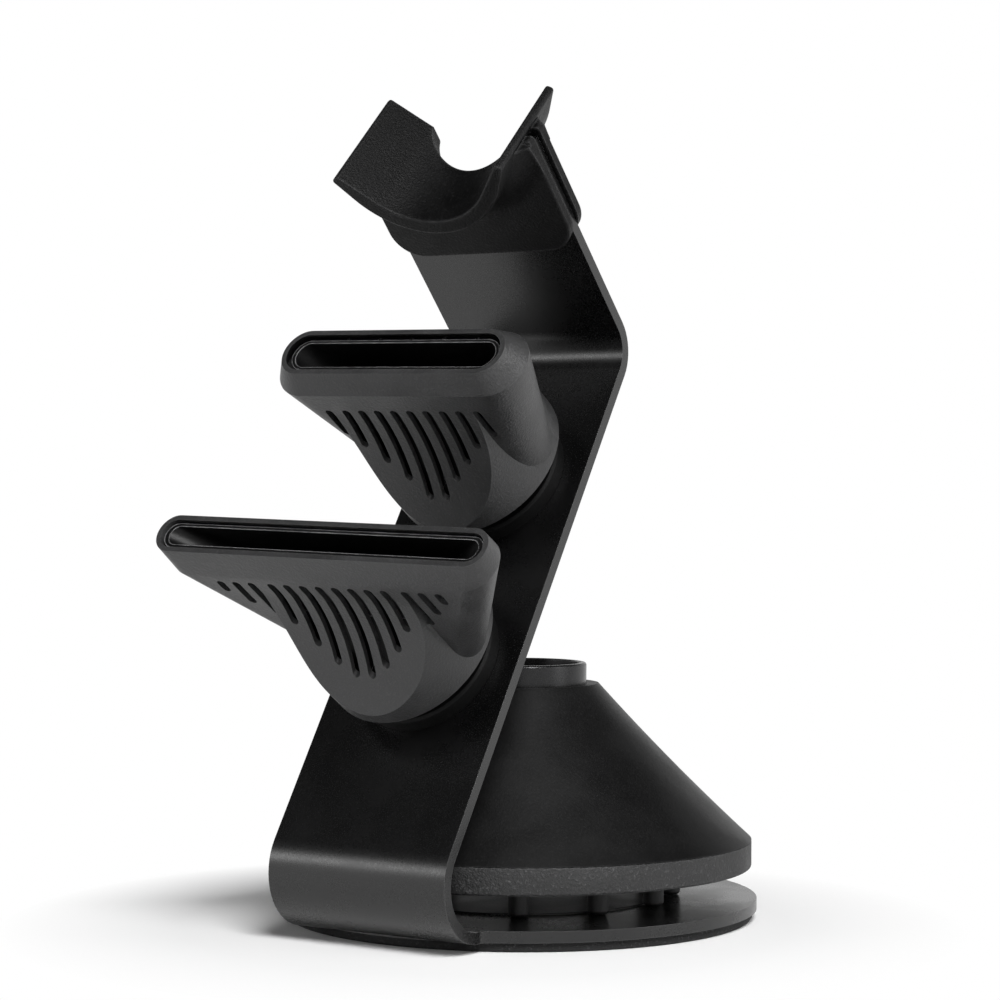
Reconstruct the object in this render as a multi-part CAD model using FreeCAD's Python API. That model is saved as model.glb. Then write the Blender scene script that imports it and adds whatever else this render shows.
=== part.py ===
import FreeCAD, Part
import math
import os
from FreeCAD import Vector, Matrix

# A stand for a hair dryer: one bent sheet with a round foot, a rubber saddle on its top end, and two
# bosses that hold a narrow and a wide nozzle. A diffuser stands on the foot. Millimetres, +Z up,
# X across the strip, -Y to the front. The origin is under the middle of the foot.

# ------------------------------------------------------------------ fits
soft_gap = 0.15          # between a rubber or glued skin and what it wraps
loose_gap = 0.3          # radial gap of pieces that turn or lift off by hand
flat_gap = 0.1           # between flat faces of pieces that lift off
screw_gap = 0.05         # around the screws and around the diffuser's collar

# ------------------------------------------------------------------ stand
disc_diameter = 150.0
sheet = 3.5
strip_width = 63.0
front_bend_radius = 14.3         # inside of the bend at the foot
foot_fillet = 4.0                # where the strip runs into the disc
foot_flat = 0.4                  # straight stretch between the fillet and the bend
lower_slope = 56.5               # of the lower run, degrees above the floor
lower_run = 178.0                # on its front face, from the bend at the foot to the upper corner
upper_slope = 46.5               # of the upper run, degrees above the floor
upper_bend_radius = 10.0         # inside of the upper bend
horn_drop = 13.0                 # of the sheet's two horns below the trough's axis
pad_thickness = 2.9
pad_setback = 1.5                # how far the pad stays inside the disc's edge
pad_edge_chamfer = 0.5
locating_disc_diameter = 88.6
locating_disc_thickness = 0.4

# ------------------------------------------------------------------ saddle
trough_height = 93.8             # of the trough's axis above the upper corner, along the upper run
trough_radius = 26.1             # round bottom of the trough, inside
trough_arm_slope = 47.6          # of its straight arms inside, degrees from the trough's bottom
trough_back_slope = 58.0         # of their outer faces, so the arms get thinner to their tips
trough_half_width = 28.8         # to the inside of the arms' tips
trough_wall = 4.7
trough_length = 40.0             # half in front of the sheet and half behind it
notch_radius = 18.5              # round notch in the trough's back rim
flap_thickness = 3.1             # of the two flaps that hold the sheet between them
flap_drop = 20.3                 # of the flaps below the trough's lowest line
flap_overhang = 1.5              # of the flaps past each edge of the strip
flap_ledge = 3.6                 # of the flaps' upper ends, from their sides in to the arms
flap_shoulder_radius = 1.5
flap_corner = 10.0
front_hollow = 9.0               # radius of the hollow under the trough, in front
back_hollow = 6.0                # and behind
arm_tip_radius = 1.0

# ------------------------------------------------------------------ collars and bosses
collar_diameter = 42.0
collar_wall = 2.2
collar_stand_out = 6.5           # of each collar past the piece that it carries
collar_inside = 5.0              # how far it goes on inside
collar_lip = 1.6                 # of the lip that keeps the collar in
collar_lip_thickness = 1.4
collar_rim_radius = 0.8          # outer edge of the open end
collar_mouth_radius = 0.5        # inner edge of the open end
collar_step = 0.3                # ledge in the bore that the latch ring sits on
latch_ring_gap = 0.05            # around the latch ring
latch_ring_width = 5.6
latch_ring_thickness = 1.2
boss_diameter = 48.0
boss_thickness = 5.4
boss_chamfer = 0.8
spigot_length = 5.2
spigot_chamfer = 0.6
magnet_rim = 2.0                 # of the spigot around its magnet
magnet_width = 5.5               # of the magnet's ring
magnet_thickness = 3.0
magnet_chamfer = 0.3
screw_diameter = 3.0
screw_head_diameter = 6.0
screw_head_height = 1.8
screw_length = 7.6
screw_spacing = 18.0
driver_slot_width = 0.8
driver_slot_length = 3.4
driver_slot_depth = 0.9

# ------------------------------------------------------------------ nozzles
nozzle_base_diameter = 56.0
nozzle_wall = 1.6
nozzle_back_wall = 2.0
duct_wall = 1.1
duct_rib = 1.0
duct_ribs_per_side = 2           # on each side of the middle one
duct_inlet_margin = 1.0          # of the duct's round end inside the collar's outside
slot_width = 2.8


class Nozzle:
    """Driving sizes of one nozzle. Heights are measured from the back of its shell."""

    def __init__(self, **sizes):
        self.__dict__.update(sizes)


narrow = Nozzle(
    name="narrow",
    up_strip=128.5,              # of its axis, along the lower run
    rest_turn=-1.2,              # how far it is turned as it hangs, degrees
    length=56.0,
    outlet_width=80.2,
    outlet_height=16.0,
    crease_width=89.2,
    crease_height=23.2,
    band_depth=6.5,              # from the outlet down to the crease
    root_width=54.6,             # of the wings where they leave the base
    face_apex=1.2,               # where the flared faces reach the base's edge
    face_angle=37.0,             # of the flared faces to the axis, degrees
    knee_radius=70.0,
    slot_top=42.0,
    slot_pitch=5.9,
    face_slots=4,                # on each side of the middle
    first_slot_foot=9.6,
    slot_foot_rise=5.6,          # per slot outwards
    slot_foot_curve=0.0,
    wing_slots=1,
    wing_slot_start=27.0,
    wing_slot_foot=29.0,
    wing_slot_rise=5.3,
    duct_margin=2.6,
    duct_recess=1.6,
)
wide = Nozzle(
    name="wide",
    up_strip=62.5,
    rest_turn=-1.6,
    length=56.0,
    outlet_width=118.0,
    outlet_height=12.6,
    crease_width=115.6,
    crease_height=17.6,
    band_depth=9.0,
    root_width=54.6,
    face_apex=4.2,
    face_angle=43.0,
    knee_radius=50.0,
    slot_top=44.5,
    slot_pitch=5.8,
    face_slots=4,
    first_slot_foot=12.6,
    slot_foot_rise=1.9,
    slot_foot_curve=0.95,
    wing_slots=3,
    wing_slot_start=27.6,
    wing_slot_foot=26.8,
    wing_slot_rise=6.0,
    duct_margin=2.1,
    duct_recess=1.2,
)

# ------------------------------------------------------------------ diffuser
diffuser_diameter = 146.6
diffuser_height = 73.5           # over the foot, collar included
band_low = 9.8                   # lower edge of the rim band, above the foot
band_high = 18.3
band_wall = 2.4
band_foot_radius = 0.8
band_top_radius = 0.4
band_ledge = 0.8                 # under the dish's edge
cone_wall = 2.0
cone_top_diameter = 49.8
cone_hollow = 0.8                # how far the cone's side sinks below a straight line
dish_thickness = 1.8
dish_rise = 2.0                  # of the dish above the band's lower edge
finger_count = 12
finger_diameter = 6.4
finger_circle = 95.6
finger_turn = 2.5                # of the first finger from straight front, degrees
finger_tip_chamfer = 0.8
finger_wall = 1.2
vent_rings = ((15.0, 6, 4.0), (28.0, 12, 4.6), (38.0, 18, 4.6), (58.0, 30, 4.6))
deflector_diameter = 34.0
deflector_thickness = 1.6
deflector_rise = 24.0            # above the dish
deflector_sink = 2.0             # of its middle below its edge
deflector_bend_radius = 8.0
deflector_legs = 3
deflector_first_leg = 20.0       # from straight front, degrees
deflector_leg_diameter = 3.0
deflector_leg_inset = 1.0        # of the legs inside the disc's edge
dish_screw_count = 4
dish_screw_circle = 132.0
dish_screw_diameter = 2.6
dish_screw_head_diameter = 5.0
dish_screw_head_height = 1.2
dish_screw_length = 7.0
dish_post_diameter = 6.0

# ------------------------------------------------------------------ worked-out places
half_strip = strip_width / 2
disc_radius = disc_diameter / 2
foot_top = pad_thickness + sheet
collar_radius = collar_diameter / 2
spigot_radius = collar_radius - collar_wall - loose_gap
magnet_outer = spigot_radius - magnet_rim
magnet_inner = magnet_outer - magnet_width
boss_front = boss_thickness + flat_gap
shell_back = boss_front + collar_stand_out
base_radius = nozzle_base_diameter / 2
trough_middle = -sheet / 2
bite = 0.5               # overlap of two solids that are fused into one
wing_root = 0.5          # height at which a nozzle's wings start inside its base
rubber_edge = 0.6        # rounding of the saddle's rims
moulded_edge = 0.3       # rounding of small moulded edges
round_end = 0.01         # how far a slot's end radius stays below half its width
same_place = 1e-6        # lengths below this count as nothing


# ------------------------------------------------------------------ outlines and solids
def rounded_wire(corners):
    """Closed wire in the XY plane through (x, y, radius) corners, each rounded by its radius."""
    stops = []
    for i, (x, y, radius) in enumerate(corners):
        here = Vector(x, y, 0)
        after = corners[(i + 1) % len(corners)]
        back = (Vector(corners[i - 1][0], corners[i - 1][1], 0) - here).normalize()
        ahead = (Vector(after[0], after[1], 0) - here).normalize()
        if radius == 0:
            stops.append((here, None, here))
            continue
        half = back.getAngle(ahead) / 2
        inward = (back + ahead).normalize()
        reach = radius / math.tan(half)
        middle = here + inward * (radius / math.sin(half) - radius)
        stops.append((here + back * reach, middle, here + ahead * reach))
    edges = []
    for i, (enter, middle, leave) in enumerate(stops):
        if middle is not None:
            edges.append(Part.Arc(enter, middle, leave).toShape())
        edges.append(Part.makeLine(leave, stops[(i + 1) % len(stops)][0]))
    return Part.Wire(edges)


def prism(corners, low, high):
    """Rounded outline in the XY plane, drawn up from z = low to z = high."""
    face = Part.Face(rounded_wire(corners))
    face.translate(Vector(0, 0, low))
    return face.extrude(Vector(0, 0, high - low))


def spun(corners):
    """Rounded (radius, height) outline, turned about Z."""
    face = Part.Face(rounded_wire(corners))
    face.rotate(Vector(0, 0, 0), Vector(1, 0, 0), 90)
    return face.revolve(Vector(0, 0, 0), Vector(0, 0, 1), 360)


def cylinder(radius, low, high, x=0.0, y=0.0):
    return Part.makeCylinder(radius, high - low, Vector(x, y, low))


def ring(outer, inner, low, high):
    return cylinder(outer, low, high).cut(cylinder(inner, low, high))


def centred_box(width, depth, low, high):
    return Part.makeBox(width, depth, high - low, Vector(-width / 2, -depth / 2, low))


def chamfered(shape, size, picks):
    return shape.makeChamfer(size, [edge for edge in shape.Edges if picks(edge)])


def filleted(shape, size, picks):
    return shape.makeFillet(size, [edge for edge in shape.Edges if picks(edge)])


def lies_at(z):
    """Test for edges that lie flat at one height."""
    return lambda edge: edge.BoundBox.ZLength < same_place and abs(edge.BoundBox.ZMin - z) < same_place


def oval_wire(half_length, half_height, z):
    """Slot outline with round ends, along X."""
    run = half_length - half_height
    right = Vector(run, 0, z)
    left = Vector(-run, 0, z)
    side = Vector(0, half_height, 0)
    out = Vector(half_height, 0, 0)
    return Part.Wire([
        Part.makeLine(left - side, right - side),
        Part.Arc(right - side, right + out, right + side).toShape(),
        Part.makeLine(right + side, left + side),
        Part.Arc(left + side, left - out, left - side).toShape(),
    ])


def oval_loft(sections):
    """Solid through slot outlines given as (half length, half height, z)."""
    return Part.makeLoft([oval_wire(*section) for section in sections], True, True)


def frame_matrix(across, along, out, origin):
    """Matrix that takes local X, Y and Z to three directions at an origin."""
    return Matrix(across.x, along.x, out.x, origin.x,
                  across.y, along.y, out.y, origin.y,
                  across.z, along.z, out.z, origin.z,
                  0, 0, 0, 1)


def placed(shape, matrix):
    moved = shape.copy()
    moved.transformShape(matrix)
    return moved


# ------------------------------------------------------------------ directions of the two runs
lower_turn = math.radians(lower_slope)
upper_turn = math.radians(upper_slope)
across = Vector(1, 0, 0)
lower_up = Vector(0, math.cos(lower_turn), math.sin(lower_turn))
lower_out = Vector(0, -math.sin(lower_turn), math.cos(lower_turn))
upper_up = Vector(0, -math.cos(upper_turn), math.sin(upper_turn))
upper_out = Vector(0, -math.sin(upper_turn), -math.cos(upper_turn))

# the fillet at the foot ends where the bend starts
front_bend_outer = front_bend_radius + sheet
chord = math.sqrt(disc_radius ** 2 - half_strip ** 2)
foot_angle = math.pi / 2 + math.asin(half_strip / disc_radius)
bend_start = -(chord + foot_fillet / math.tan(foot_angle / 2) + foot_flat)
bend_reach = front_bend_outer * math.tan((math.pi - lower_turn) / 2)
front_corner = Vector(0, bend_start - bend_reach, pad_thickness)
lower_start = front_corner + lower_up * bend_reach
upper_corner = lower_start + lower_up * lower_run

# the trough's outline, in the upper run's own plane
arm_turn = math.radians(trough_arm_slope)
back_turn = math.radians(trough_back_slope)
back_side = Vector(math.sin(back_turn), -math.cos(back_turn), 0)
upper_run = trough_height - horn_drop

upper_frame = frame_matrix(across, upper_up, upper_out, upper_corner)
sheet_frame = frame_matrix(Vector(0, 1, 0), Vector(0, 0, 1), across, Vector(0, 0, 0))


def lower_frame(up_strip):
    """Frame on the lower run's front face: X across, Y up the strip and Z straight out."""
    return frame_matrix(across, lower_up, lower_out, lower_start + lower_up * up_strip)


def nozzle_frame(nozzle):
    frame = lower_frame(nozzle.up_strip)
    turn = Matrix()
    turn.rotateZ(math.radians(nozzle.rest_turn))
    return frame.multiply(turn)


# ------------------------------------------------------------------ stand
def trough_line(offset, turn):
    """The trough's V with arms at this turn, moved out by offset: its corner's height and radius."""
    radius = trough_radius + offset
    return trough_height - radius / math.cos(turn), radius


def strip_outline():
    """Side view of the bent strip as (y, z, radius) corners, front face first."""
    meet = (lower_out + upper_out) * (sheet / (1 + lower_out.dot(upper_out)))
    inner_corner = upper_corner - meet
    top = upper_corner + upper_up * upper_run
    inner_reach = front_bend_radius * math.tan((math.pi - lower_turn) / 2)
    inside = -disc_radius / 2
    return [
        (inside, pad_thickness, 0),
        (front_corner.y, pad_thickness, front_bend_outer),
        (upper_corner.y, upper_corner.z, upper_bend_radius),
        (top.y, top.z, 0),
        (top.y - upper_out.y * sheet, top.z - upper_out.z * sheet, 0),
        (inner_corner.y, inner_corner.z, upper_bend_radius + sheet),
        (bend_start - inner_reach, foot_top, front_bend_radius),
        (inside, foot_top, 0),
    ]


def make_stand_plate():
    strip = placed(prism(strip_outline(), -half_strip, half_strip), sheet_frame)
    plate = strip.fuse(cylinder(disc_radius, pad_thickness, foot_top)).removeSplitter()

    def foot_kink(edge):
        box = edge.BoundBox
        upright = abs(box.ZLength - sheet) < same_place and box.YLength < same_place
        return upright and abs(box.YMin + chord) < 1e-3
    plate = filleted(plate, foot_fillet, foot_kink)
    far = strip_width
    low, radius = trough_line(trough_wall + soft_gap, back_turn)
    rise = far * math.tan(back_turn)
    seat = prism([(-far, low + rise, 0), (0, low, radius), (far, low + rise, 0),
                  (far, low + 2 * rise, 0), (-far, low + 2 * rise, 0)], -far, far)
    plate = plate.cut(placed(seat, upper_frame))
    for nozzle in (narrow, wide):
        for y in (-screw_spacing / 2, screw_spacing / 2):
            plate = plate.cut(placed(screw_solid(y, soft_gap, bite), lower_frame(nozzle.up_strip)))
    return plate


def make_base_pad():
    pad = cylinder(disc_radius - pad_setback, 0, pad_thickness)
    return chamfered(pad, pad_edge_chamfer, lies_at(0))


def make_locating_disc():
    disc = cylinder(locating_disc_diameter / 2, foot_top, foot_top + locating_disc_thickness)
    return chamfered(disc, locating_disc_thickness / 2, lies_at(foot_top + locating_disc_thickness))


# ------------------------------------------------------------------ saddle
def trough_section():
    """Trough with straight arms inside and steeper ones outside, as a closed outline."""
    low, radius = trough_line(0, arm_turn)
    back_low, back_radius = trough_line(trough_wall, back_turn)
    tip = Vector(trough_half_width, low + trough_half_width * math.tan(arm_turn), 0)
    from_axis = tip - Vector(0, trough_height, 0)
    back_tip = tip + back_side * (back_radius - from_axis.dot(back_side))
    return [
        (-tip.x, tip.y, arm_tip_radius),
        (0, low, radius),
        (tip.x, tip.y, arm_tip_radius),
        (back_tip.x, back_tip.y, arm_tip_radius),
        (0, back_low, back_radius),
        (-back_tip.x, back_tip.y, arm_tip_radius),
    ]


def flap_end():
    """Half width and height at which the flaps' upper ends run into the middle of the arms' wall."""
    seat = half_strip + flap_overhang - flap_ledge
    return seat, trough_line(trough_wall / 2, arm_turn)[0] + seat * math.tan(arm_turn)


def flap(low, high, outer_face):
    """One of the two flaps that hold the sheet, from z = low to z = high in the upper frame."""
    half = half_strip + flap_overhang
    corner, radius = trough_line(trough_wall / 2, arm_turn)
    foot = trough_height - trough_radius - trough_wall - flap_drop
    seat, top = flap_end()
    outline = [(-half, top, flap_shoulder_radius), (-half, foot, flap_corner),
               (half, foot, flap_corner), (half, top, flap_shoulder_radius),
               (seat, top, 0), (0, corner, radius), (-seat, top, 0)]

    def outer_rim(edge):
        middle = edge.CenterOfMass
        return lies_at(outer_face)(edge) and (middle.y < foot + flap_corner
                                              or abs(middle.x) > half - 1e-3)
    return filleted(prism(outline, low, high), rubber_edge, outer_rim)


def hollow(size, floor, direction):
    """Concave fillet between the trough's underside and a flap whose outer face is at z = floor."""
    outer = trough_radius + trough_wall
    inset = size * (1 - math.sqrt(0.5))
    outline = [(-bite, -bite), (size, -bite), (size, 0), (0, size), (-bite, size)]
    points = [Vector(outer + r, 0, floor + direction * z) for r, z in outline]
    bend = Vector(outer + inset, 0, floor + direction * inset)
    edges = [Part.makeLine(points[0], points[1]), Part.makeLine(points[1], points[2]),
             Part.Arc(points[2], bend, points[3]).toShape(),
             Part.makeLine(points[3], points[4]), Part.makeLine(points[4], points[0])]
    start = Part.Face(Part.Wire(edges))
    spread = math.degrees(math.acos((trough_height - flap_end()[1]) / outer))
    start.rotate(Vector(0, 0, 0), Vector(0, 0, 1), -90 - spread)
    axis = Vector(0, trough_height, 0)
    start.translate(axis)
    whole = start.revolve(axis, Vector(0, 0, 1), 2 * spread)
    width = 2 * (half_strip + flap_overhang)
    return whole.common(Part.makeBox(width, trough_height * 2, trough_length * 2,
                                     Vector(-width / 2, 0, -trough_length)))


def make_saddle():
    front = trough_middle + trough_length / 2
    back = trough_middle - trough_length / 2
    trough = prism(trough_section(), back, front)
    trough = filleted(trough, rubber_edge, lambda edge: lies_at(front)(edge) or lies_at(back)(edge))
    front_face = soft_gap + flap_thickness
    back_face = -sheet - soft_gap - flap_thickness
    saddle = trough.fuse([
        flap(soft_gap, front_face, front_face),
        flap(back_face, -sheet - soft_gap, back_face),
        hollow(front_hollow, front_face, 1),
        hollow(back_hollow, back_face, -1),
    ])
    notch = Part.makeCylinder(notch_radius, trough_height * 2,
                              Vector(0, 0, back_face - notch_radius), Vector(0, 1, 0))
    return placed(saddle.cut(notch).removeSplitter(), upper_frame)


# ------------------------------------------------------------------ bosses
def screw_solid(y, gap, reach):
    """Countersunk screw from the back of the strip; a gap makes it the hole for one."""
    back = -sheet
    head = Part.makeCone(screw_head_diameter / 2 + gap, screw_diameter / 2 + gap, screw_head_height,
                         Vector(0, y, back))
    shank = cylinder(screw_diameter / 2 + gap, back, back + screw_length + gap, 0, y)
    solid = head.fuse(shank)
    if reach:
        solid = solid.fuse(cylinder(screw_head_diameter / 2 + gap, back - reach, back, 0, y))
    return solid


def make_boss():
    boss = cylinder(boss_diameter / 2, 0, boss_thickness)
    boss = chamfered(boss, boss_chamfer, lies_at(boss_thickness))
    spigot_top = boss_thickness + spigot_length
    spigot = cylinder(spigot_radius, 0, spigot_top)
    spigot = chamfered(spigot, spigot_chamfer, lies_at(spigot_top))
    boss = boss.fuse(spigot).removeSplitter()
    groove = ring(magnet_outer + soft_gap, magnet_inner - soft_gap,
                  spigot_top - magnet_thickness, spigot_top + bite)
    boss = boss.cut(groove)
    for y in (-screw_spacing / 2, screw_spacing / 2):
        boss = boss.cut(screw_solid(y, screw_gap, 0))
    return boss


def make_magnet():
    top = boss_thickness + spigot_length
    magnet = ring(magnet_outer, magnet_inner, top - magnet_thickness, top)
    return chamfered(magnet, magnet_chamfer, lies_at(top))


def make_boss_screws():
    screws = []
    for nozzle in (narrow, wide):
        for y in (-screw_spacing / 2, screw_spacing / 2):
            screw = screw_solid(y, 0, 0)
            for turn in (0, 90):
                slot = centred_box(driver_slot_width, driver_slot_length,
                                   -sheet - bite, -sheet + driver_slot_depth)
                slot.rotate(Vector(0, 0, 0), Vector(0, 0, 1), turn)
                slot.translate(Vector(0, y, 0))
                screw = screw.cut(slot)
            screws.append(placed(screw, lower_frame(nozzle.up_strip)))
    return Part.makeCompound(screws)


# ------------------------------------------------------------------ collars
def make_collar():
    """Ring that fits the dryer's barrel. Its open end is at z = 0 and it goes up into its piece."""
    lip_low = collar_stand_out + nozzle_back_wall + flat_gap
    top = collar_stand_out + collar_inside
    bore = collar_radius - collar_wall
    depth = spigot_length + flat_gap
    seat = bore - collar_step
    stop = seat - 2 * collar_step
    seat_top = depth + latch_ring_thickness
    return spun([
        (bore, 0, collar_mouth_radius),
        (collar_radius, 0, collar_rim_radius),
        (collar_radius, lip_low, 0),
        (collar_radius + collar_lip, lip_low, moulded_edge),
        (collar_radius + collar_lip, lip_low + collar_lip_thickness, moulded_edge),
        (collar_radius, lip_low + collar_lip_thickness, 0),
        (collar_radius, top, moulded_edge),
        (stop, top, moulded_edge),
        (stop, seat_top, 0),
        (seat, seat_top, 0),
        (seat, depth, 0),
        (bore, depth, 0),
    ])


def make_latch_ring():
    """Steel ring in the collar that a boss's magnet holds."""
    low = spigot_length + flat_gap
    outer = collar_radius - collar_wall - collar_step - latch_ring_gap
    return ring(outer, outer - latch_ring_width, low, low + latch_ring_thickness)


# ------------------------------------------------------------------ nozzles
def oval_sections(nozzle, inset, floor, extra):
    """The wings' three sections, moved in by inset and drawn past the outlet by extra."""
    crease = nozzle.length - nozzle.band_depth
    low = max(wing_root, floor)
    rise = (low - wing_root) / (crease - wing_root)
    root = nozzle.root_width + (nozzle.crease_width - nozzle.root_width) * rise
    past = 1 + extra / nozzle.band_depth
    end_width = nozzle.crease_width + (nozzle.outlet_width - nozzle.crease_width) * past
    end_height = nozzle.crease_height + (nozzle.outlet_height - nozzle.crease_height) * past
    return [
        (root / 2 - inset, nozzle.crease_height / 2 - inset, low),
        (nozzle.crease_width / 2 - inset, nozzle.crease_height / 2 - inset, crease),
        (end_width / 2 - inset, end_height / 2 - inset, nozzle.length + extra),
    ]


def face_height(nozzle, inset, half):
    """Height at which a flared face, moved in by inset, stands this far from the middle."""
    turn = math.radians(nozzle.face_angle)
    return nozzle.face_apex + ((base_radius - half) * math.cos(turn) - inset) / math.sin(turn)


def nozzle_form(nozzle, inset, floor, extra):
    """The nozzle's form, moved in by inset, from z = floor up: round base, flared faces and wings."""
    crease = nozzle.length - nozzle.band_depth
    knee = nozzle.crease_height / 2 + bite - inset
    waist = knee - 2 * bite
    far = nozzle_base_diameter
    foot = face_height(nozzle, inset, far)
    top = face_height(nozzle, inset, knee)
    radius = nozzle.knee_radius + inset
    slab = prism([
        (-far, foot - bite, 0), (far, foot - bite, 0), (far, foot, 0),
        (knee, top, radius), (waist, crease, 0),
        (-waist, crease, 0), (-knee, top, radius), (-far, foot, 0),
    ], -far, far)
    base = cylinder(base_radius - inset, floor, crease).common(placed(slab, sheet_frame))
    wings = oval_loft(oval_sections(nozzle, inset, floor, extra))
    return base.fuse(wings).removeSplitter()


def slots(nozzle):
    """Cutters for the long slots in both faces of a shell, fanned over the face and the wings."""
    feet = []
    for i in range(nozzle.face_slots):
        foot = nozzle.first_slot_foot + nozzle.slot_foot_rise * i + nozzle.slot_foot_curve * i * i
        feet.append((nozzle.slot_pitch * (i + 0.5), foot))
    for i in range(nozzle.wing_slots):
        feet.append((nozzle.wing_slot_start + nozzle.slot_pitch * i,
                     nozzle.wing_slot_foot + nozzle.wing_slot_rise * i))
    end = slot_width / 2 - round_end
    cutters = []
    for x, foot in feet:
        for side in (-1, 1):
            left = side * x - slot_width / 2
            right = side * x + slot_width / 2
            cutter = prism([(left, foot, end), (right, foot, end),
                            (right, nozzle.slot_top, end), (left, nozzle.slot_top, end)],
                           -base_radius, base_radius)
            cutter.rotate(Vector(0, 0, 0), Vector(1, 0, 0), 90)
            cutters.append(cutter)
    return cutters


def make_shell(nozzle):
    shell = nozzle_form(nozzle, 0, 0, 0)
    shell = shell.cut(nozzle_form(nozzle, nozzle_wall, nozzle_back_wall, 1))
    shell = shell.cut(cylinder(collar_radius + loose_gap, -bite, nozzle_back_wall + bite))
    return shell.cut(slots(nozzle))


def duct_sections(nozzle, inset, extra):
    """Inner air duct from the collar to just inside the outlet."""
    inlet = collar_inside + flat_gap
    inlet_half = collar_radius - duct_inlet_margin - inset
    knee = face_height(nozzle, 0, nozzle.crease_height / 2)
    waist = base_radius - nozzle_wall - nozzle.duct_margin
    clear = nozzle_wall + nozzle.duct_margin / 2
    return [
        (inlet_half + duct_inlet_margin / 2, inlet_half, inlet - extra),
        (waist - inset, nozzle.crease_height / 2 - clear - inset, knee),
        (nozzle.outlet_width / 2 - nozzle.duct_margin - inset,
         nozzle.outlet_height / 2 - nozzle.duct_margin - inset,
         nozzle.length - nozzle.duct_recess + extra),
    ]


def make_duct(nozzle):
    outer = oval_loft(duct_sections(nozzle, 0, 0))
    inner = oval_loft(duct_sections(nozzle, duct_wall, bite))
    room = nozzle_form(nozzle, nozzle_wall + soft_gap, nozzle_back_wall + soft_gap, 0)
    low = face_height(nozzle, 0, collar_radius)
    high = nozzle.length - nozzle.band_depth
    duct = outer
    for i in range(-duct_ribs_per_side, duct_ribs_per_side + 1):
        rib = Part.makeBox(duct_rib, 2 * base_radius, high - low,
                           Vector(2 * nozzle.slot_pitch * i - duct_rib / 2, -base_radius, low))
        duct = duct.fuse(rib.common(room))
    return duct.cut(inner)


# ------------------------------------------------------------------ diffuser
band_inner = diffuser_diameter / 2 - band_wall
skirt_outer = band_inner - soft_gap
dish_low = foot_top + band_low + dish_rise
dish_high = dish_low + dish_thickness
cone_low = foot_top + band_high
diffuser_top = foot_top + diffuser_height
cone_high = diffuser_top - collar_stand_out


def make_cone():
    """Cone with a slightly hollow side, a flat shoulder on top and a skirt that goes into the band."""
    wide_radius = diffuser_diameter / 2
    top_radius = cone_top_diameter / 2
    side = Vector(top_radius - wide_radius, 0, cone_high - cone_low)
    inward = Vector(-side.z, 0, side.x).normalize()
    web = nozzle_back_wall

    def side_arc(shift):
        low = Vector(wide_radius, 0, cone_low) + inward * shift
        high = low + side
        middle = (low + high) * 0.5 + inward * cone_hollow
        return low, middle, high
    low, middle, high = side_arc(0)
    inner_low, inner_middle, inner_high = side_arc(cone_wall)
    hole = collar_radius + screw_gap
    skirt_foot = dish_high + flat_gap
    skirt_inner = skirt_outer - cone_wall
    corners = [
        Vector(hole, 0, cone_high), high, low,
        Vector(skirt_outer, 0, cone_low), Vector(skirt_outer, 0, skirt_foot),
        Vector(skirt_inner, 0, skirt_foot), Vector(skirt_inner, 0, inner_low.z),
        inner_low, inner_high, Vector(hole, 0, cone_high - web),
    ]
    edges = []
    for i, start in enumerate(corners):
        end = corners[(i + 1) % len(corners)]
        if i == 1:
            edges.append(Part.Arc(start, middle, end).toShape())
        elif i == 7:
            edges.append(Part.Arc(start, inner_middle, end).toShape())
        elif start.distanceToPoint(end) > same_place:
            edges.append(Part.makeLine(start, end))
    cone = Part.Face(Part.Wire(edges)).revolve(Vector(0, 0, 0), Vector(0, 0, 1), 360)
    inside = Part.makeCone(skirt_outer - bite, top_radius - cone_wall, cone_high - cone_low,
                           Vector(0, 0, cone_low - cone_wall))
    inside = inside.fuse(cylinder(skirt_outer - bite, skirt_foot, cone_low))
    for x, y in dish_screw_places():
        post = cylinder(dish_post_diameter / 2, skirt_foot, cone_high, x, y).common(inside)
        pilot = cylinder(dish_screw_diameter / 2 + screw_gap, dish_low,
                         dish_low + dish_screw_length + soft_gap, x, y)
        cone = cone.fuse(post).cut(pilot)
    return cone


def around(circle, count, first):
    """Points spread evenly on a circle, the first one so many degrees from straight front."""
    places = []
    for i in range(count):
        turn = math.radians(first + 360 * i / count)
        places.append((circle / 2 * math.sin(turn), -circle / 2 * math.cos(turn)))
    return places


def make_band():
    low = foot_top + band_low
    outer = diffuser_diameter / 2
    return spun([
        (outer, low, band_foot_radius), (outer, cone_low - flat_gap, band_top_radius),
        (band_inner, cone_low - flat_gap, 0), (band_inner, dish_low, 0),
        (band_inner - band_ledge, dish_low, 0), (band_inner - band_ledge, low, moulded_edge),
    ])


def dish_screw(x, y, gap):
    head = Part.makeCone(dish_screw_head_diameter / 2 + gap, dish_screw_diameter / 2 + gap,
                         dish_screw_head_height, Vector(x, y, dish_low))
    shank = cylinder(dish_screw_diameter / 2 + gap, dish_low, dish_low + dish_screw_length, x, y)
    return head.fuse(shank)


def dish_screw_places():
    return around(dish_screw_circle, dish_screw_count, 360 / dish_screw_count / 2)


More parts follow.
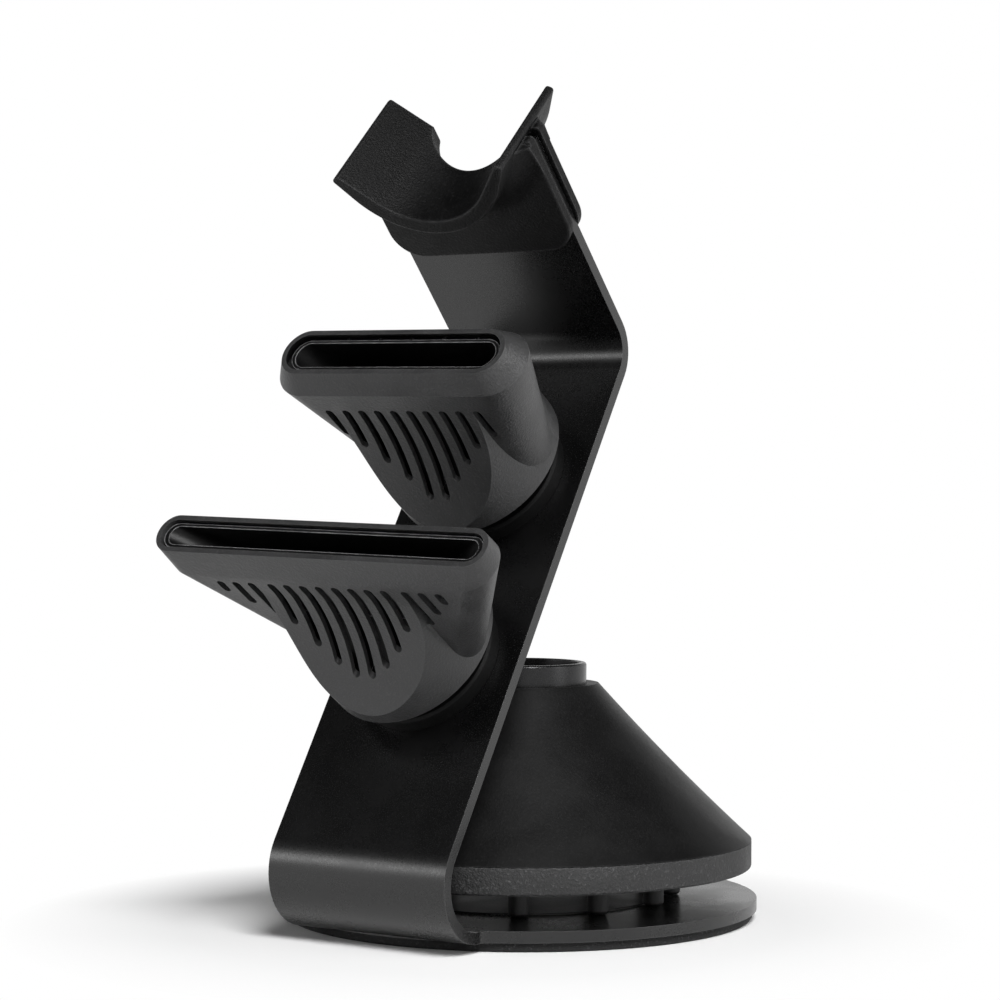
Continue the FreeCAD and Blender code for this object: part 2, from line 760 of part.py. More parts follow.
def make_dish():
    dish = cylinder(skirt_outer, dish_low + soft_gap, dish_high)
    holes = []
    for radius, count, size in vent_rings:
        for x, y in around(2 * radius, count, 0):
            holes.append(cylinder(size / 2, dish_low - bite, dish_high + bite, x, y))
    for x, y in dish_screw_places():
        holes.append(dish_screw(x, y, screw_gap))
    dish = dish.cut(holes)
    fingers = []
    for x, y in around(finger_circle, finger_count, finger_turn):
        finger = cylinder(finger_diameter / 2, foot_top + flat_gap, dish_low + bite, x, y)
        finger = chamfered(finger, finger_tip_chamfer, lies_at(foot_top + flat_gap))
        bore = cylinder(finger_diameter / 2 - finger_wall, foot_top + flat_gap + finger_wall,
                        dish_high + bite, x, y)
        fingers.append((finger, bore))
    dish = dish.fuse([finger for finger, bore in fingers])
    return dish.cut([bore for finger, bore in fingers])


def make_deflector():
    """Dished disc on legs that spreads the air under the collar."""
    low = dish_high + deflector_rise
    radius = deflector_diameter / 2
    middle = low - deflector_sink
    disc = spun([
        (0, middle, 0),
        (radius / 2, middle, deflector_bend_radius),
        (radius, low, 0),
        (radius, low + deflector_thickness, moulded_edge),
        (radius / 2 - moulded_edge, middle + deflector_thickness, deflector_bend_radius),
        (0, middle + deflector_thickness, 0),
    ])
    legs = []
    leg_radius = deflector_leg_diameter / 2
    inset = deflector_leg_inset + leg_radius
    under = low - deflector_sink * inset / (radius / 2)
    for x, y in around(2 * (radius - inset), deflector_legs, deflector_first_leg):
        legs.append(cylinder(leg_radius, dish_high, under + deflector_thickness / 2, x, y))
    return disc.fuse(legs)


def make_dish_screws():
    return Part.makeCompound([dish_screw(x, y, 0) for x, y in dish_screw_places()])


# ------------------------------------------------------------------ all nodes
def make_nodes():
    collar_frame = frame_matrix(Vector(1, 0, 0), Vector(0, -1, 0), Vector(0, 0, -1),
                                Vector(0, 0, diffuser_top))
    nodes = {
        "stand_plate": make_stand_plate(),
        "base_pad": make_base_pad(),
        "locating_disc": make_locating_disc(),
        "saddle": make_saddle(),
        "upper_boss": placed(make_boss(), lower_frame(narrow.up_strip)),
        "lower_boss": placed(make_boss(), lower_frame(wide.up_strip)),
        "upper_magnet": placed(make_magnet(), lower_frame(narrow.up_strip)),
        "lower_magnet": placed(make_magnet(), lower_frame(wide.up_strip)),
        "boss_screws": make_boss_screws(),
        "diffuser_cone": make_cone(),
        "diffuser_band": make_band(),
        "diffuser_dish": make_dish(),
        "diffuser_deflector": make_deflector(),
        "diffuser_screws": make_dish_screws(),
        "diffuser_collar": placed(make_collar(), collar_frame),
        "diffuser_latch_ring": placed(make_latch_ring(), collar_frame),
    }
    for nozzle in (narrow, wide):
        frame = nozzle_frame(nozzle)
        to_collar = Matrix(frame)
        to_collar = to_collar.multiply(shifted(boss_front))
        to_shell = Matrix(frame)
        to_shell = to_shell.multiply(shifted(shell_back))
        nodes[nozzle.name + "_collar"] = placed(make_collar(), to_collar)
        nodes[nozzle.name + "_latch_ring"] = placed(make_latch_ring(), to_collar)
        nodes[nozzle.name + "_shell"] = placed(make_shell(nozzle), to_shell)
        nodes[nozzle.name + "_duct"] = placed(make_duct(nozzle), to_shell)
    return nodes


def shifted(distance):
    """Matrix of a move along Z."""
    matrix = Matrix()
    matrix.move(Vector(0, 0, distance))
    return matrix


os.makedirs("parts", exist_ok=True)
for name, shape in make_nodes().items():
    if not shape.isValid():
        raise ValueError("not a valid shape: " + name)
    shape.exportStep("parts/" + name + ".step")
    print(name, len(shape.Solids), round(shape.Volume, 1))
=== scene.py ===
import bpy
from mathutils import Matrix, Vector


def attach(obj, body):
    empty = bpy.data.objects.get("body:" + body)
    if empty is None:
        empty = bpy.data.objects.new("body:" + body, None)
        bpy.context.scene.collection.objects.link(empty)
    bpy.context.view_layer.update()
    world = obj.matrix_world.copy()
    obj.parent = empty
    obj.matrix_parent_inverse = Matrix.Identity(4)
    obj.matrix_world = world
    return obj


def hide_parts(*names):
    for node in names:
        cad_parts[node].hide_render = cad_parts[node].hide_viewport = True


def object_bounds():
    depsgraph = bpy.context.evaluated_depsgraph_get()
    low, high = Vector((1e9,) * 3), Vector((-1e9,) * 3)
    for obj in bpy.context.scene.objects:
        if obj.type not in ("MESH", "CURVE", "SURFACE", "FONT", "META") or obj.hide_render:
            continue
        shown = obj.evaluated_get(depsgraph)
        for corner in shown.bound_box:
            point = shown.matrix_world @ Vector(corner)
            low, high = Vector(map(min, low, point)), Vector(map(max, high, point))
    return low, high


bl_info = {
    "name": "Dryer Stand Finish",
    "version": (1, 0, 0),
    "blender": (4, 5, 0),
    "location": "View3D > Sidebar > Dryer Stand",
    "description": "Finishes a bent-sheet dryer stand with its saddle, two nozzles and a diffuser",
    "category": "Object",
}

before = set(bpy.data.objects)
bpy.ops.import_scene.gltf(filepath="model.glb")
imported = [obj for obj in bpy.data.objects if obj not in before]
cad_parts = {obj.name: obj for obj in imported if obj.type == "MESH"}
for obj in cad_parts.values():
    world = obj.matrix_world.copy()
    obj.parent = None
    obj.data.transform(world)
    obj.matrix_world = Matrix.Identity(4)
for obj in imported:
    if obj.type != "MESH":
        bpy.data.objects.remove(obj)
cad_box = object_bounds()

import math

import bmesh
import bpy
from bpy.props import FloatProperty, FloatVectorProperty, PointerProperty
from bpy.types import Operator, Panel, PropertyGroup
from mathutils import Matrix, Vector

# ------------------------------------------------------------------ numbers for the meshes, in metres
WELD = 2e-6                         # points of a CAD mesh this close are one point
FLAT = math.radians(0.4)            # faces that meet at less than this are one flat face
BEVEL_ANGLE = math.radians(28.0)    # edges sharper than this are rounded
TURNED_EDGE = 0.0002                # rounding of turned pieces
COLLAR_EDGE = 0.00015
MOULDED_EDGE = 0.0003

# ------------------------------------------------------------------ numbers for the finishes
GRAIN_SPAN = (0.28, 0.72)           # part of the noise's range that becomes 0 to 1
FLECK_SPAN = (0.56, 0.74)
MOTTLE_SPAN = (0.32, 0.68)
MOTTLE_SHADES = (0.8, 1.2)          # of a finish's colour at the clouds' two ends
EDGE_SPAN = (0.995, 0.90)           # likeness of the true and the rounded normal, from face to edge
BREAK_SPAN = (0.3, 0.62, 0.35, 1.0)     # part of the noise's range, and the shares of paler edge it becomes, for worn edges and for painted highlights
BREAKS_PER_METRE = 420.0
LEVEL_SPAN = (0.55, 1.0)            # upward share of a normal over which dust settles
SPECK_SPAN = (0.5, 0.78)
SPECKS_PER_METRE = 900.0
DUST_COLOUR = (0.20, 0.195, 0.185)
BLUE_SHARE = 1.02                   # of a grey's blue to its red and green
FIRST_COLOUR = 6                    # the Mix node's colour sockets
SECOND_COLOUR = 7
MIXED_COLOUR = 2

# ------------------------------------------------------------------ numbers for the stage
FLOOR_ROUGHNESS = 0.9
FLOOR_SHINE = 0.1
FLOOR_SIDES = 96
FLOOR_DROP = 0.00005                # of the floor below the pad, in metres
FLOOR_MIDDLE = -0.02                # of the round floor, along Y
FLOOR_FADE = (0.095, 0.15)          # from the first to the second the floor turns plain white
WALL_FADE = (0.12, 0.50)            # share of the height over which the studio's walls turn dark
WALL_LIGHT = 0.85
OVERHEAD_LIGHT = 0.06
SENSOR_WIDTH = 36.0
CAMERA_PLACE = (0.47422, -0.73950, 0.13690)
CAMERA_TURN = (33.104, 0.3754, 0.2339)      # to the left, down and about its own axis, degrees
SOFTBOXES = (                               # name, place, width, height and watts
    ("front_softbox", (1.1, -0.95, 1.45), 0.9, 0.9, 48.0),
    ("right_softbox", (1.9, 0.5, 0.7), 0.8, 1.4, 8.0),
    ("left_softbox", (-1.07, -1.36, 0.60), 0.6, 0.3, 3.0),
)


# ------------------------------------------------------------------ meshes
def welded_copy(node, name):
    """New object with a CAD node's mesh, its points joined and its degenerate edges and faces dissolved."""
    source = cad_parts[node]
    mesh = source.data.copy()
    mesh.name = name
    mesh.materials.clear()
    form = bmesh.new()
    form.from_mesh(mesh)
    bmesh.ops.remove_doubles(form, verts=form.verts, dist=WELD)
    bmesh.ops.dissolve_degenerate(form, edges=form.edges, dist=WELD)
    form.to_mesh(mesh)
    form.free()
    if "custom_normal" in mesh.attributes:
        mesh.attributes.remove(mesh.attributes["custom_normal"])
    piece = bpy.data.objects.new(name, mesh)
    bpy.context.scene.collection.objects.link(piece)
    return piece


def settle(piece):
    """Turn a piece's modifiers into its mesh."""
    graph = bpy.context.evaluated_depsgraph_get()
    mesh = bpy.data.meshes.new_from_object(piece.evaluated_get(graph))
    piece.modifiers.clear()
    piece.data = mesh
    mesh.name = piece.name
    return piece


def bevelled(node, name, radius, segments=3):
    """Copy of a CAD node with every sharp edge rounded."""
    piece = welded_copy(node, name)
    form = bmesh.new()
    form.from_mesh(piece.data)
    bmesh.ops.dissolve_limit(form, angle_limit=FLAT, verts=form.verts, edges=form.edges)
    for face in form.faces:
        face.smooth = True
    form.to_mesh(piece.data)
    form.free()
    bevel = piece.modifiers.new("edge", "BEVEL")
    bevel.width = radius
    bevel.segments = segments
    bevel.limit_method = "ANGLE"
    bevel.angle_limit = BEVEL_ANGLE
    bevel.harden_normals = True
    return settle(piece)


def finish_piece(piece, material, body, slot, *nodes):
    """Give a piece its material and its body, and hide the CAD nodes that it stands for."""
    piece.data.materials.clear()
    piece.data.materials.append(material)
    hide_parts(*nodes)
    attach(piece, body)
    return piece


def finish_node(node, material):
    """Give a CAD node that stays as it is its material."""
    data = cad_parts[node].data
    data.materials.clear()
    data.materials.append(material)


# ------------------------------------------------------------------ node groups
def new_group(name, inputs, outputs):
    """Empty group with its (label, default) inputs and its outputs, all plain numbers."""
    group = bpy.data.node_groups.new(name, "ShaderNodeTree")
    for label, default in inputs:
        socket = group.interface.new_socket(label, in_out="INPUT", socket_type="NodeSocketFloat")
        socket.default_value = default
    for label in outputs:
        group.interface.new_socket(label, in_out="OUTPUT", socket_type="NodeSocketFloat")
    return group, group.nodes.new("NodeGroupInput"), group.nodes.new("NodeGroupOutput")


def add_node(tree, kind, links=(), **values):
    """Add a node; values set its sockets or properties, links join (socket, source) pairs."""
    node = tree.nodes.new(kind)
    for key, value in values.items():
        label = key.replace("_", " ")
        if hasattr(node, key) and not any(s.name == label for s in node.inputs):
            setattr(node, key, value)
        else:
            node.inputs[label].default_value = value
    for socket, source in links:
        tree.links.new(node.inputs[socket], source)
    return node


def remap(tree, source, low, high, to_low=0.0, to_high=1.0):
    """Stretch a value so that low to high becomes to_low to to_high."""
    node = add_node(tree, "ShaderNodeMapRange", [(0, source)])
    for index, value in enumerate((low, high, to_low, to_high), 1):
        node.inputs[index].default_value = value
    return node.outputs[0]


def math_node(tree, operation, a, b):
    """Two numbers or outputs put through one operation."""
    node = tree.nodes.new("ShaderNodeMath")
    node.operation = operation
    for index, value in enumerate((a, b)):
        if isinstance(value, (int, float)):
            node.inputs[index].default_value = value
        else:
            tree.links.new(node.inputs[index], value)
    return node.outputs[0]


def make_grain_group():
    """Fine moulded or sprayed grain: a height, and flecks where the grain stands up."""
    group, enter, leave = new_group("Fine Grain", [("Grain per Metre", 1500.0)], ["Height", "Fleck"])
    place = group.nodes.new("ShaderNodeTexCoord")
    noise = add_node(group, "ShaderNodeTexNoise", [("Vector", place.outputs["Object"]),
                                                   ("Scale", enter.outputs[0])],
                     Detail=3.0, Roughness=0.65)
    group.links.new(leave.inputs["Height"], remap(group, noise.outputs["Fac"], *GRAIN_SPAN))
    group.links.new(leave.inputs["Fleck"], remap(group, noise.outputs["Fac"], *FLECK_SPAN))
    return group


def make_mottle_group():
    """Slow cloudy change over a surface, from handling and from uneven spraying."""
    group, enter, leave = new_group("Mottle", [("Clouds per Metre", 60.0)], ["Mottle"])
    place = group.nodes.new("ShaderNodeTexCoord")
    slow = add_node(group, "ShaderNodeTexNoise", [("Vector", place.outputs["Object"]),
                                                  ("Scale", enter.outputs[0])],
                    Detail=4.0, Roughness=0.55, Distortion=0.4)
    group.links.new(leave.inputs["Mottle"], remap(group, slow.outputs["Fac"], *MOTTLE_SPAN))
    return group


def make_wear_and_highlight_group():
    """Mask of edges, broken up, where a finish is made paler: worn edges, and on the coat and the ducts a
    painted highlight.
    """
    group, enter, leave = new_group("Edge Wear", [("Width", 0.0005)], ["Wear"])
    shape = group.nodes.new("ShaderNodeNewGeometry")
    place = group.nodes.new("ShaderNodeTexCoord")
    patchy = add_node(group, "ShaderNodeTexNoise", [("Vector", place.outputs["Object"])],
                      Scale=BREAKS_PER_METRE, Detail=4.0, Roughness=0.6)
    rounded = add_node(group, "ShaderNodeBevel", [("Radius", enter.outputs["Width"])], samples=4)
    likeness = add_node(group, "ShaderNodeVectorMath", [(0, rounded.outputs["Normal"]),
                                                        (1, shape.outputs["Normal"])],
                        operation="DOT_PRODUCT")
    edge = remap(group, likeness.outputs["Value"], *EDGE_SPAN)
    broken = remap(group, patchy.outputs["Fac"], *BREAK_SPAN)
    group.links.new(leave.inputs["Wear"], math_node(group, "MULTIPLY", edge, broken))
    return group


def make_dust_group():
    """Thin dust that settles on faces that look up."""
    group, enter, leave = new_group("Settled Dust", [("Amount", 0.5)], ["Dust"])
    shape = group.nodes.new("ShaderNodeNewGeometry")
    place = group.nodes.new("ShaderNodeTexCoord")
    split = add_node(group, "ShaderNodeSeparateXYZ", [(0, shape.outputs["Normal"])])
    specks = add_node(group, "ShaderNodeTexNoise", [("Vector", place.outputs["Object"])],
                      Scale=SPECKS_PER_METRE, Detail=5.0, Roughness=0.7)
    level = remap(group, split.outputs["Z"], *LEVEL_SPAN)
    fleck = remap(group, specks.outputs["Fac"], *SPECK_SPAN)
    share = math_node(group, "MULTIPLY", level, fleck)
    group.links.new(leave.inputs["Dust"], math_node(group, "MULTIPLY", share, enter.outputs["Amount"]))
    return group


GROUPS = {}


def group_node(tree, maker, **values):
    """Node that uses a shared group, which is made the first time it is asked for."""
    if maker not in GROUPS:
        GROUPS[maker] = maker()
    node = tree.nodes.new("ShaderNodeGroup")
    node.node_tree = GROUPS[maker]
    for key, value in values.items():
        node.inputs[key.replace("_", " ")].default_value = value
    return node


# ------------------------------------------------------------------ materials
def blend_colour(tree, factor, first, second):
    """Mix of two colours; the first may be a colour or the output of another mix."""
    node = tree.nodes.new("ShaderNodeMix")
    node.data_type = "RGBA"
    tree.links.new(node.inputs[0], factor)
    if isinstance(first, tuple):
        node.inputs[FIRST_COLOUR].default_value = (*first, 1.0)
    else:
        tree.links.new(node.inputs[FIRST_COLOUR], first)
    node.inputs[SECOND_COLOUR].default_value = (*second, 1.0)
    return node.outputs[MIXED_COLOUR]


def grey(level):
    """Grey with a trace of blue."""
    return (level, level, BLUE_SHARE * level)


def make_finish(name, colour, pale, rough, spread, grain, depth, clouds=60.0, fleck=0.25, wear_and_highlight=0.5,
                wear_and_highlight_width=0.0005, dust=0.3, specular=0.5, metallic=0.0):
    """Dark finish with grain, cloudy change, edges made paler as worn edges and as painted highlights, and
    settled dust.

    grain and clouds are per metre, depth and wear_and_highlight_width are metres, and fleck, wear and dust
    are shares.
    """
    material = bpy.data.materials.new(name)
    material.use_nodes = True
    tree = material.node_tree
    surface = tree.nodes["Principled BSDF"]
    surface.inputs["Metallic"].default_value = metallic
    surface.inputs["Specular IOR Level"].default_value = specular
    texture = group_node(tree, make_grain_group, Grain_per_Metre=grain)
    mottle = group_node(tree, make_mottle_group, Clouds_per_Metre=clouds)
    edges = group_node(tree, make_wear_and_highlight_group, Width=wear_and_highlight_width)
    settled = group_node(tree, make_dust_group, Amount=dust)
    dark, light = (tuple(shade * part for part in colour) for shade in MOTTLE_SHADES)
    base = blend_colour(tree, mottle.outputs["Mottle"], dark, light)
    flecks = math_node(tree, "MULTIPLY", texture.outputs["Fleck"], fleck)
    base = blend_colour(tree, flecks, base, pale)
    # Edges made paler: worn edges, and on some finishes a painted highlight.
    wear_and_highlight_share = math_node(tree, "MULTIPLY", edges.outputs["Wear"], wear_and_highlight)
    base = blend_colour(tree, wear_and_highlight_share, base, pale)
    base = blend_colour(tree, settled.outputs["Dust"], base, DUST_COLOUR)
    tree.links.new(surface.inputs["Base Color"], base)
    cloudy = remap(tree, mottle.outputs["Mottle"], 0.0, 1.0, rough - spread, rough + spread)
    speckled = remap(tree, texture.outputs["Height"], 0.0, 1.0, -spread, spread)
    tree.links.new(surface.inputs["Roughness"], math_node(tree, "ADD", cloudy, speckled))
    bump = add_node(tree, "ShaderNodeBump", [("Height", texture.outputs["Height"])],
                    Strength=1.0, Distance=depth)
    tree.links.new(surface.inputs["Normal"], bump.outputs["Normal"])
    return material


# ------------------------------------------------------------------ settings
def edge_property(description, default):
    return FloatProperty(name="Edge radius", description=description, default=default,
                         min=0.0001, max=0.001, precision=5, subtype="DISTANCE", unit="LENGTH")


def colour_property(name, description, default):
    return FloatVectorProperty(name=name, description=description, default=default,
                               size=3, min=0, max=1, subtype="COLOR")


class SheetSettings(PropertyGroup):
    edge_radius: edge_property("Rounding of the sheet's edges", 0.0004)
    coat_colour: colour_property("Coat", "Colour of the powder coat", (0.002, 0.002, 0.0021))
    coat_roughness: FloatProperty(name="Coat roughness", description="Roughness of the powder coat",
                                  default=0.28, min=0, max=1, subtype="FACTOR")


class RubberSettings(PropertyGroup):
    edge_radius: edge_property("Rounding of the rubber's sharp edges", 0.0003)
    colour: colour_property("Rubber", "Colour of the saddle's rubber", (0.0015, 0.0015, 0.0016))


class NozzleSettings(PropertyGroup):
    edge_radius: edge_property("Rounding of the nozzles' sharp edges", 0.0002)
    colour: colour_property("Nozzle plastic", "Colour of the nozzles' shells", (0.022, 0.022, 0.0225))
    duct_colour: colour_property("Duct plastic", "Colour of the inner ducts", (0.002, 0.002, 0.0021))


class DiffuserSettings(PropertyGroup):
    cone_colour: colour_property("Cone plastic", "Colour of the diffuser's cone", (0.003, 0.003, 0.0031))
    band_colour: colour_property("Rim band", "Colour of the diffuser's rim band", (0.010, 0.010, 0.0103))


class StudioSettings(PropertyGroup):
    floor_radius: FloatProperty(name="Floor radius", description="Radius of the round floor",
                                default=14.0, min=1, max=100, subtype="DISTANCE", unit="LENGTH")
    floor_colour: colour_property("Floor", "Colour of the floor", (0.93, 0.93, 0.93))
    lens: FloatProperty(name="Lens", description="Focal length of the camera in millimetres",
                        default=99.76, min=10, max=300, subtype="DISTANCE_CAMERA")


# ------------------------------------------------------------------ pieces
class DRYERSTAND_OT_sheet(Operator):
    """Round the bent sheet's edges and coat it, with its pad and locating disc"""
    bl_idname = "dryerstand.sheet"
    bl_label = "Coated Sheet"

    def execute(self, context):
        look = context.scene.dryerstand_sheet
        # The coat's paler edges are partly worn edges and partly a painted highlight: thin light lines along
        # both arrises of the sheet.
        coat = make_finish("powder_coat", tuple(look.coat_colour), pale=grey(0.05),
                           rough=look.coat_roughness, spread=0.03, grain=1400.0, depth=0.000005,
                           clouds=45.0, fleck=0.03, wear_and_highlight=0.7, wear_and_highlight_width=0.0004, dust=0.03, specular=0.6)
        sheet = bevelled("stand_plate", "coated_sheet", look.edge_radius)
        finish_piece(sheet, coat, "stand", "stand_coat", "stand_plate")
        pad = make_finish("pad_rubber_finish", grey(0.010), pale=grey(0.08), rough=0.8, spread=0.06,
                          grain=1000.0, depth=0.00012, fleck=0.6, dust=0.1, specular=0.3)
        finish_piece(bevelled("base_pad", "floor_pad", MOULDED_EDGE), pad, "stand", "pad_rubber", "base_pad")
        film = make_finish("locating_film", grey(0.012), pale=grey(0.05), rough=0.42, spread=0.05,
                           grain=1500.0, depth=0.00001, fleck=0.1, dust=0.1)
        finish_node("locating_disc", film)
        return {"FINISHED"}


class DRYERSTAND_OT_saddle(Operator):
    """Mould the rubber saddle on the sheet's top end"""
    bl_idname = "dryerstand.saddle"
    bl_label = "Rubber Saddle"

    def execute(self, context):
        look = context.scene.dryerstand_rubber
        rubber = make_finish("saddle_rubber_finish", tuple(look.colour), pale=grey(0.05), rough=0.5,
                             spread=0.06, grain=1300.0, depth=0.00010, clouds=90.0, fleck=0.2, wear_and_highlight=0.7,
                             wear_and_highlight_width=0.0012, dust=0.01, specular=0.16)
        saddle = bevelled("saddle", "moulded_saddle", look.edge_radius)
        finish_piece(saddle, rubber, "stand", "saddle_rubber", "saddle")
        return {"FINISHED"}


class DRYERSTAND_OT_bosses(Operator):
    """Finish the two bosses on the sheet, with their magnets and screws"""
    bl_idname = "dryerstand.bosses"
    bl_label = "Bosses"

    def execute(self, context):
        plastic = make_finish("boss_plastic_finish", grey(0.003), pale=grey(0.02), rough=0.55,
                              spread=0.06, grain=1400.0, depth=0.00003, fleck=0.05, wear_and_highlight=0.2, dust=0.0,
                              specular=0.12)
        nickel = make_finish("magnet_nickel", (0.50, 0.49, 0.47), pale=(0.66, 0.65, 0.63), rough=0.3,
                             spread=0.08, grain=2200.0, depth=0.000006, metallic=1.0, dust=0.0)
        steel = make_finish("black_steel", grey(0.035), pale=grey(0.30), rough=0.38, spread=0.08,
                            grain=1800.0, depth=0.000008, metallic=1.0, dust=0.0)
        for level in ("upper", "lower"):
            boss = bevelled(level + "_boss", level + "_boss_turned", TURNED_EDGE, segments=2)
            finish_piece(boss, plastic, "stand", "boss_plastic", level + "_boss")
            finish_node(level + "_magnet", nickel)
        for node in ("boss_screws", "diffuser_screws"):
            finish_node(node, steel)
        return {"FINISHED"}


class DRYERSTAND_OT_collars(Operator):
    """Finish the three dark collars and the steel rings inside them"""
    bl_idname = "dryerstand.collars"
    bl_label = "Collars"

    def execute(self, context):
        black = make_finish("black_collar", grey(0.006), pale=grey(0.06), rough=0.35, spread=0.06,
                            grain=1700.0, depth=0.000008, fleck=0.05, wear_and_highlight=0.4, specular=0.3,
                            metallic=0.85, dust=0.0)
        dark = make_finish("anodised_collar", grey(0.030), pale=grey(0.25), rough=0.3, spread=0.06,
                           grain=1700.0, depth=0.000008, fleck=0.05, wear_and_highlight=0.4, metallic=0.85, dust=0.1)
        ground = make_finish("ground_steel", grey(0.42), pale=grey(0.6), rough=0.28, spread=0.1,
                             grain=2000.0, depth=0.000006, metallic=1.0, dust=0.0)
        for piece, body, finish in (("narrow", "narrow_collar", black),
                                    ("wide", "wide_collar", black),
                                    ("diffuser", "diffuser", dark)):
            collar = bevelled(piece + "_collar", piece + "_collar_turned", COLLAR_EDGE, segments=2)
            finish_piece(collar, finish, body, "collar_metal", piece + "_collar")
            finish_node(piece + "_latch_ring", ground)
        return {"FINISHED"}


class DRYERSTAND_OT_nozzles(Operator):
    """Mould the shells and ducts of the two nozzles"""
    bl_idname = "dryerstand.nozzles"
    bl_label = "Nozzles"

    def execute(self, context):
        look = context.scene.dryerstand_nozzle
        shell_finish = make_finish("nozzle_plastic_finish", tuple(look.colour), pale=grey(0.075),
                                   rough=0.45, spread=0.06, grain=1200.0, depth=0.00009, clouds=80.0,
                                   fleck=0.4, wear_and_highlight=0.3, dust=0.03, specular=0.5)
        # The ducts' paler edges are a painted highlight: a thin light line around each duct's mouth.
        duct_finish = make_finish("duct_plastic_finish", tuple(look.duct_colour), pale=grey(0.40),
                                  rough=0.45, spread=0.05, grain=1500.0, depth=0.00002, fleck=0.01,
                                  wear_and_highlight=0.9, wear_and_highlight_width=0.0004, dust=0.0, specular=0.2)
        for size in ("narrow", "wide"):
            shell = bevelled(size + "_shell", size + "_shell_moulded", look.edge_radius)
            finish_piece(shell, shell_finish, size + "_nozzle", "nozzle_plastic", size + "_shell")
            duct = bevelled(size + "_duct", size + "_duct_moulded", look.edge_radius, segments=2)
            finish_piece(duct, duct_finish, size + "_nozzle", "duct_plastic", size + "_duct")
        return {"FINISHED"}


class DRYERSTAND_OT_diffuser(Operator):
    """Finish the diffuser's cone, rim band, dish and deflector"""
    bl_idname = "dryerstand.diffuser"
    bl_label = "Diffuser"

    def execute(self, context):
        look = context.scene.dryerstand_diffuser
        smooth = make_finish("cone_plastic_finish", tuple(look.cone_colour), pale=grey(0.05), rough=0.45,
                             spread=0.05, grain=1500.0, depth=0.00002, clouds=50.0, fleck=0.1, wear_and_highlight=0.3,
                             dust=0.02, specular=0.26)
        coarse = make_finish("band_plastic_finish", tuple(look.band_colour), pale=grey(0.12), rough=0.6,
                             spread=0.08, grain=1000.0, depth=0.00020, clouds=70.0, fleck=0.5, wear_and_highlight=0.5,
                             dust=0.08)
        plain = make_finish("dish_plastic_finish", grey(0.014), pale=grey(0.05), rough=0.55, spread=0.05,
                            grain=1500.0, depth=0.00003, dust=0.05)
        cone = bevelled("diffuser_cone", "diffuser_cone_turned", MOULDED_EDGE)
        finish_piece(cone, smooth, "diffuser", "cone_plastic", "diffuser_cone")
        band = bevelled("diffuser_band", "diffuser_band_turned", TURNED_EDGE, segments=2)
        finish_piece(band, coarse, "diffuser", "band_plastic", "diffuser_band")
        dish = bevelled("diffuser_dish", "diffuser_dish_moulded", MOULDED_EDGE, segments=2)
        finish_piece(dish, plain, "diffuser", "dish_plastic", "diffuser_dish")
        finish_node("diffuser_deflector", plain)
        return {"FINISHED"}


# ------------------------------------------------------------------ stage
def make_floor(look):
    """Round pale floor that keeps the object's shadow and turns plain white far out."""
    form = bmesh.new()
    bmesh.ops.create_circle(form, cap_ends=True, radius=look.floor_radius, segments=FLOOR_SIDES)
    mesh = bpy.data.meshes.new("studio_floor")
    form.to_mesh(mesh)
    form.free()
    floor = bpy.data.objects.new("studio_floor", mesh)
    floor.location = (0.0, FLOOR_MIDDLE, -FLOOR_DROP)
    bpy.context.scene.collection.objects.link(floor)
    material = bpy.data.materials.new("studio_floor_finish")
    material.use_nodes = True
    tree = material.node_tree
    surface = tree.nodes["Principled BSDF"]
    surface.inputs["Base Color"].default_value = (*look.floor_colour, 1.0)
    surface.inputs["Roughness"].default_value = FLOOR_ROUGHNESS
    surface.inputs["Specular IOR Level"].default_value = FLOOR_SHINE
    white = tree.nodes.new("ShaderNodeEmission")
    place = tree.nodes.new("ShaderNodeTexCoord")
    far = add_node(tree, "ShaderNodeVectorMath", [(0, place.outputs["Object"])], operation="LENGTH")
    fade = remap(tree, far.outputs["Value"], *FLOOR_FADE)
    path = tree.nodes.new("ShaderNodeLightPath")
    seen = math_node(tree, "MAXIMUM", path.outputs["Is Camera Ray"], path.outputs["Is Glossy Ray"])
    seen = math_node(tree, "MAXIMUM", seen, path.outputs["Is Transmission Ray"])
    mix = add_node(tree, "ShaderNodeMixShader", [(0, math_node(tree, "MULTIPLY", seen, fade)),
                                                 (1, surface.outputs["BSDF"]),
                                                 (2, white.outputs["Emission"])])
    tree.links.new(tree.nodes["Material Output"].inputs["Surface"], mix.outputs["Shader"])
    floor.data.materials.append(material)
    return floor


def make_world():
    """White background, and a studio whose walls are white low down and dark overhead."""
    world = bpy.data.worlds.new("studio")
    bpy.context.scene.world = world
    world.use_nodes = True
    tree = world.node_tree
    tree.nodes.clear()
    leave = tree.nodes.new("ShaderNodeOutputWorld")
    room = tree.nodes.new("ShaderNodeBackground")
    white = tree.nodes.new("ShaderNodeBackground")
    white.inputs["Color"].default_value = (1, 1, 1, 1)
    place = tree.nodes.new("ShaderNodeTexCoord")
    split = add_node(tree, "ShaderNodeSeparateXYZ", [(0, place.outputs["Generated"])])
    walls = remap(tree, split.outputs["Z"], *WALL_FADE, 1.0, 0.0)
    tree.links.new(room.inputs["Strength"], remap(tree, walls, 0.0, 1.0, OVERHEAD_LIGHT, WALL_LIGHT))
    path = tree.nodes.new("ShaderNodeLightPath")
    shine = math_node(tree, "MAXIMUM", path.outputs["Is Glossy Ray"], path.outputs["Is Transmission Ray"])
    shine = math_node(tree, "MULTIPLY", shine, walls)
    seen = math_node(tree, "MAXIMUM", path.outputs["Is Camera Ray"], shine)
    mix = add_node(tree, "ShaderNodeMixShader", [(0, seen), (1, room.outputs[0]), (2, white.outputs[0])])
    tree.links.new(leave.inputs["Surface"], mix.outputs["Shader"])


